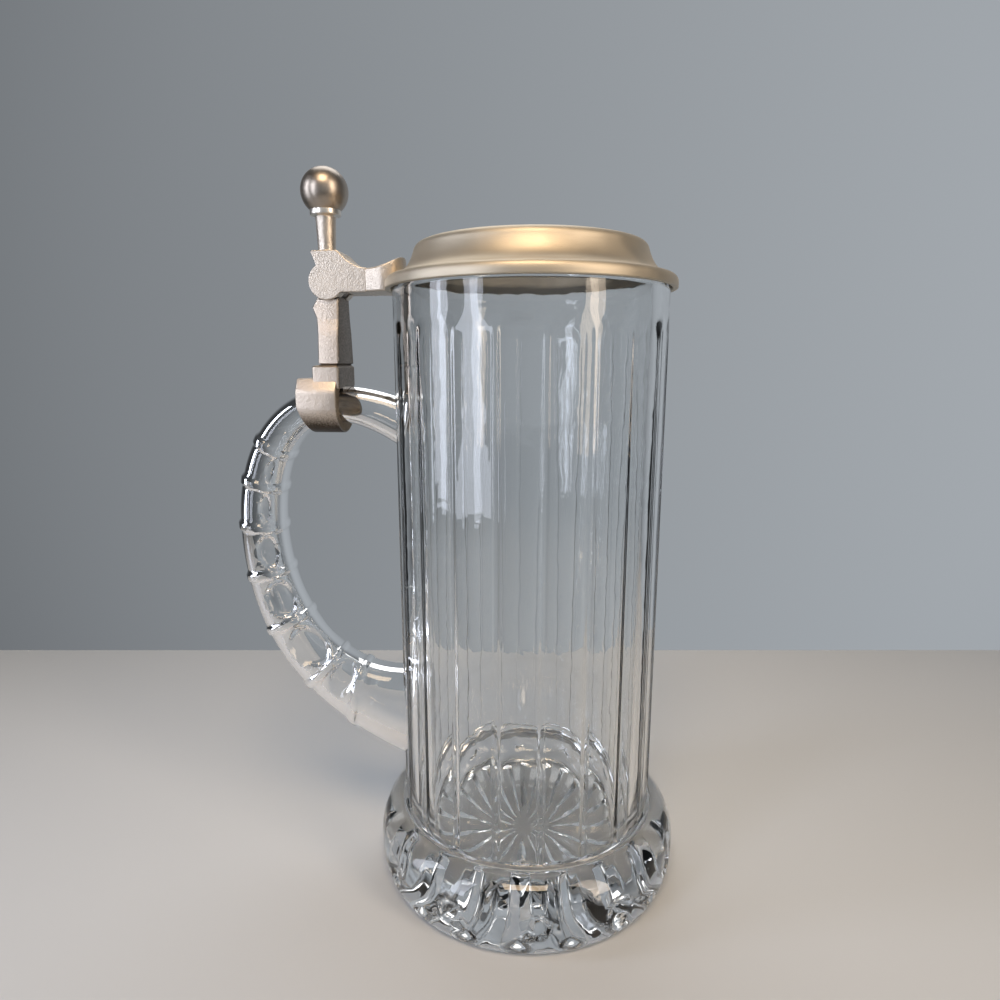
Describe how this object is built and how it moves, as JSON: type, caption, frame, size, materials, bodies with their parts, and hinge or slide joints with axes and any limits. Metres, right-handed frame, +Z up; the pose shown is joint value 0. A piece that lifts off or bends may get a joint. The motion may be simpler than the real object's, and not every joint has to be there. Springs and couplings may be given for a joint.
{
  "type": "glass beer stein",
  "caption": "Tall panelled glass beer stein with a ribbed loop handle, a bulging foot and a hinged pewter lid lifted by a ball-topped thumb lift.",
  "frame": {"origin": "centre of the flat hub under the foot, where the stein stands on a table", "axes": "+Z up along the body's axis, -X towards the handle, Y across the handle"},
  "size_m": [0.1439, 0.0986, 0.2238],
  "materials": {
    "pressed_glass": "clear pressed glass, fire polished",
    "cast_pewter": "satin cast pewter with a warm grey tone",
    "spun_pewter": "satin spun pewter with fine turning marks",
    "turned_pewter": "polished turned pewter, darker and glossier",
    "steel_pin": "plain steel wire, ground"
  },
  "bodies": {
    "mug": {"glass_body": "pressed_glass", "glass_handle": "pressed_glass", "handle_collar": "cast_pewter", "hinge_post": "cast_pewter"},
    "lid": {"lid_shell": "spun_pewter", "lid_lever": "cast_pewter", "hinge_pin": "steel_pin", "thumblift_stem": "cast_pewter", "thumblift_ring": "turned_pewter", "thumblift_ball": "turned_pewter"}
  },
  "joints": [
    {"name": "lid_hinge", "type": "hinge", "parent": "mug", "child": "lid", "pos_m": [-0.0607, 0, 0.1903], "axis": [0, -1, 0], "range_deg": [0, 105]}
  ]
}
